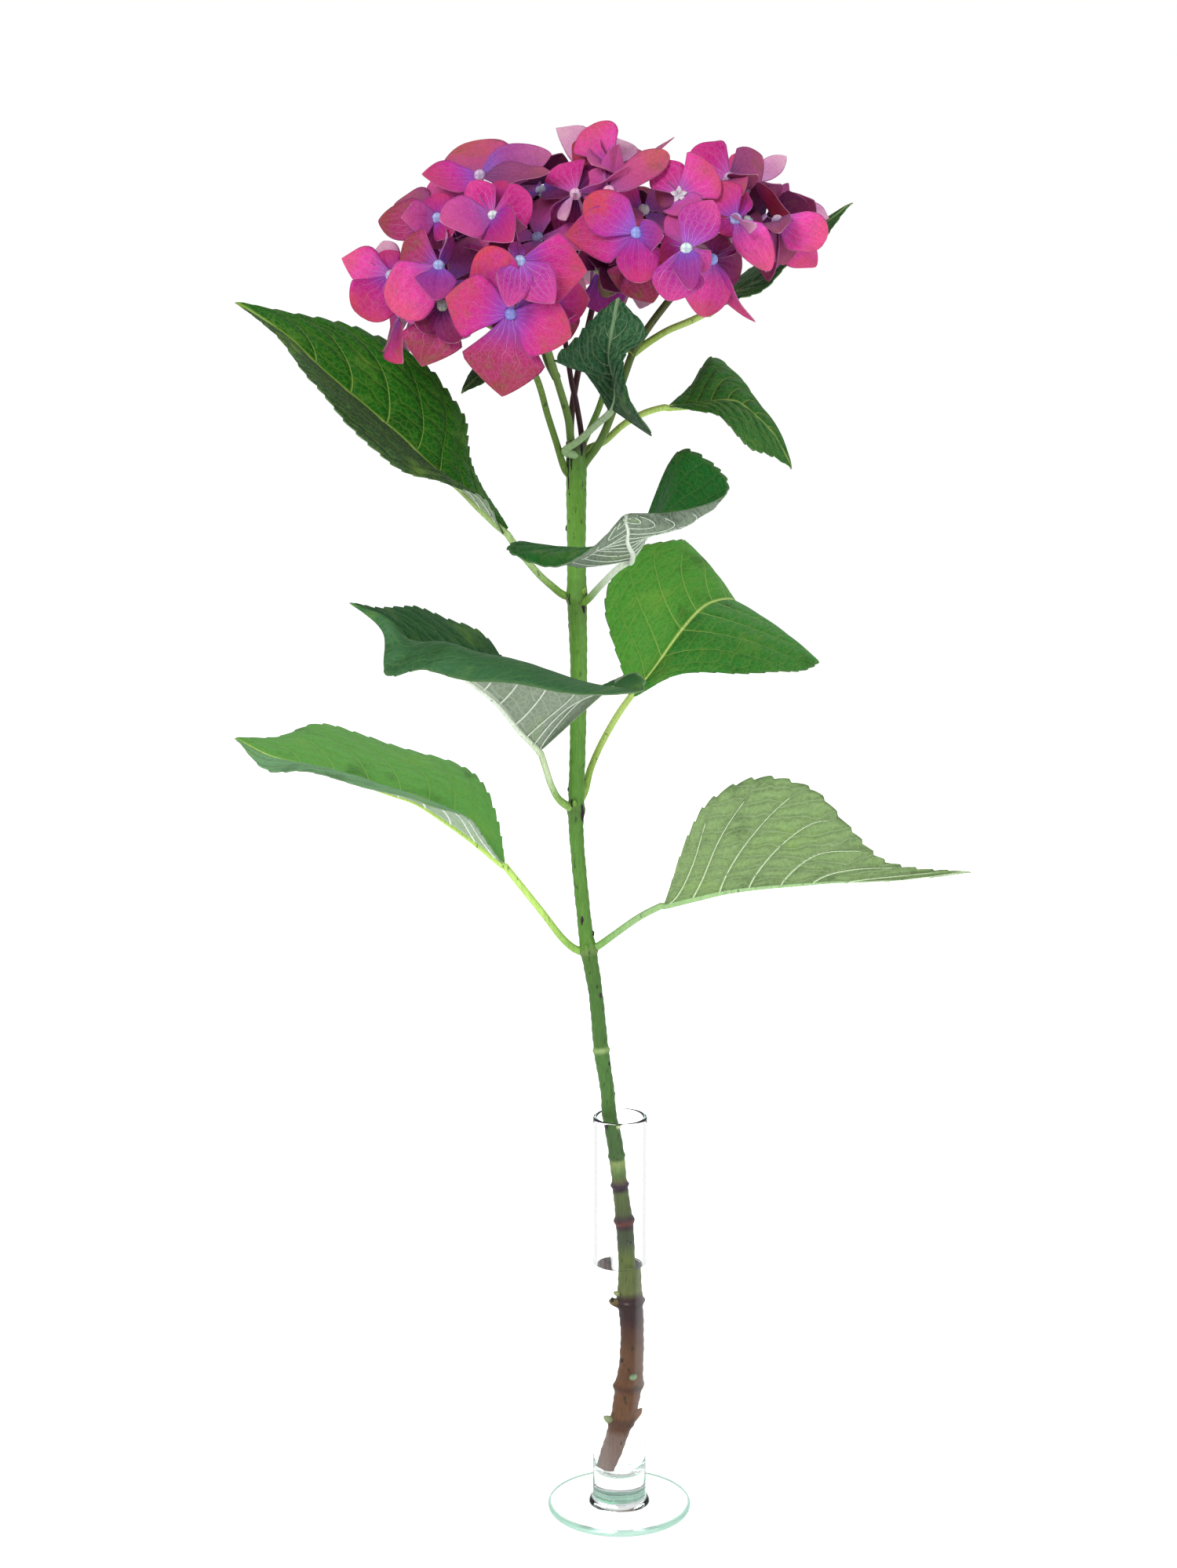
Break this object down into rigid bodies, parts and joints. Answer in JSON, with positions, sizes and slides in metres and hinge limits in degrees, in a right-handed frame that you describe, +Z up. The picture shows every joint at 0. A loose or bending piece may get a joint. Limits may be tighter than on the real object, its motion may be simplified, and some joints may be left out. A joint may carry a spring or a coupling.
{
  "type": "cut hydrangea in a glass bud vase",
  "caption": "Cut hydrangea: a domed head of pink florets on a leafy stem, standing in a slim clear glass bud vase part filled with water.",
  "frame": {"origin": "middle of the underside of the vase's foot, on the surface it stands on", "axes": "+Z up along the vase's tube; +X to the right and +Y away, as seen by someone facing the side of the head that shows best"},
  "size_m": [0.2641, 0.2193, 0.5136],
  "materials": {
    "clear_glass": "clear drawn glass, faintly green at its thick edges",
    "still_water": "clear still water",
    "green_stem": "green shoot with small dark pores, browner and ringed at its nodes and under water",
    "green_leaf": "netted leaf skin, satin above with pale veins, paler and matt beneath",
    "pink_petal": "velvety sepals, magenta and violet at the eye to coral and olive at the tips, with fine pale veins"
  },
  "bodies": {
    "root": {"vase": "clear_glass", "water": "still_water", "stem": "green_stem", "leaf_a": "green_leaf", "leaf_b": "green_leaf", "leaf_c": "green_leaf", "leaf_d": "green_leaf", "leaf_e": "green_leaf", "leaf_f": "green_leaf", "leaf_g": "green_leaf", "leaf_h": "green_leaf", "leaf_i": "green_leaf", "leaf_j": "green_leaf", "flower_head": "pink_petal"}
  },
  "joints": []
}
